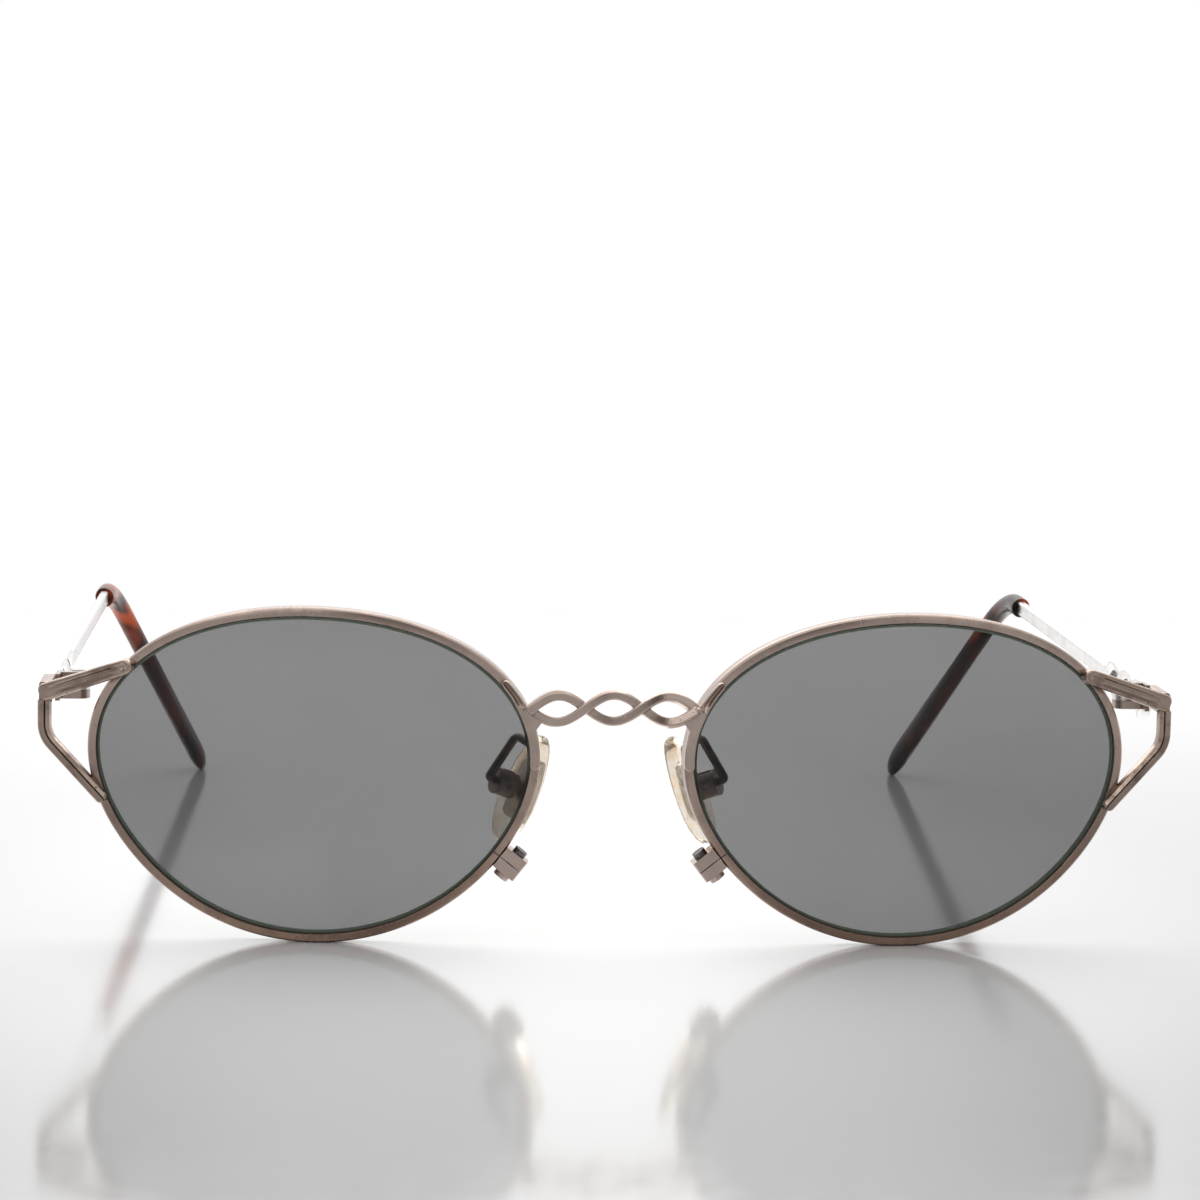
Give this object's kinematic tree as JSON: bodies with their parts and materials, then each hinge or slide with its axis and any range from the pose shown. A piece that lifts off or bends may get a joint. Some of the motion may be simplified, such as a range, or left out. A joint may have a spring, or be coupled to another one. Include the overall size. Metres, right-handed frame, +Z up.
{
  "type": "oval eyeglasses",
  "caption": "Oval metal sunglasses with a twisted bridge, tinted lenses, rocking nose pads and twisted temples that fold on screw hinges and end in plastic ear tips.",
  "frame": {"origin": "on the table, in the middle of the box round the open frame", "axes": "+Z up, +Y backward from the lenses to the ear tips, +X to the wearer's left"},
  "size_m": [0.1312, 0.1318, 0.0386],
  "materials": {
    "front_metal": "antique pewter plating, dark in the grooves, worn bright on the edges",
    "temple_metal": "antique silver plating, satin",
    "screw_steel": "turned, plated",
    "core_steel": "plain stamped sheet",
    "lens": "polished neutral grey tint",
    "pad_plastic": "clear, slightly amber, polished",
    "tip_plastic": "polished dark tortoiseshell, red-brown to near black"
  },
  "bodies": {
    "front": {"bridge": "front_metal", "left_rim": "front_metal", "left_lens": "lens", "left_end_bar": "front_metal", "left_end_loop": "front_metal", "left_closing_block_upper": "front_metal", "left_closing_block_lower": "front_metal", "left_closing_screw": "screw_steel", "left_pad_arm": "front_metal", "left_pad_box": "front_metal", "left_pad_screw": "screw_steel", "left_front_hinge_leaf": "front_metal", "left_hinge_screw": "screw_steel", "right_rim": "front_metal", "right_lens": "lens", "right_end_bar": "front_metal", "right_end_loop": "front_metal", "right_closing_block_upper": "front_metal", "right_closing_block_lower": "front_metal", "right_closing_screw": "screw_steel", "right_pad_arm": "front_metal", "right_pad_box": "front_metal", "right_pad_screw": "screw_steel", "right_front_hinge_leaf": "front_metal", "right_hinge_screw": "screw_steel"},
    "left_temple": {"left_temple_hinge_leaf": "temple_metal", "left_temple_twist": "temple_metal", "left_temple_bar": "temple_metal", "left_temple_tip": "tip_plastic"},
    "right_temple": {"right_temple_hinge_leaf": "temple_metal", "right_temple_twist": "temple_metal", "right_temple_bar": "temple_metal", "right_temple_tip": "tip_plastic"},
    "left_pad": {"left_nose_pad": "pad_plastic", "left_pad_core": "core_steel"},
    "right_pad": {"right_nose_pad": "pad_plastic", "right_pad_core": "core_steel"}
  },
  "joints": [
    {"name": "left_temple_fold", "type": "hinge", "parent": "front", "child": "left_temple", "pos_m": [0.06125, -0.05161, 0.02796], "axis": [0, 0, 1], "range_deg": [0, 86]},
    {"name": "right_temple_fold", "type": "hinge", "parent": "front", "child": "right_temple", "pos_m": [-0.06125, -0.05161, 0.02796], "axis": [0, 0, -1], "range_deg": [0, 78]},
    {"name": "left_pad_rock", "type": "hinge", "parent": "front", "child": "left_pad", "pos_m": [0.01203, -0.05555, 0.0175], "axis": [0.3473, 0.9272, 0.1403], "range_deg": [-8, 8]},
    {"name": "right_pad_rock", "type": "hinge", "parent": "front", "child": "right_pad", "pos_m": [-0.01203, -0.05555, 0.0175], "axis": [-0.3473, 0.9272, 0.1403], "range_deg": [-8, 8]}
  ]
}
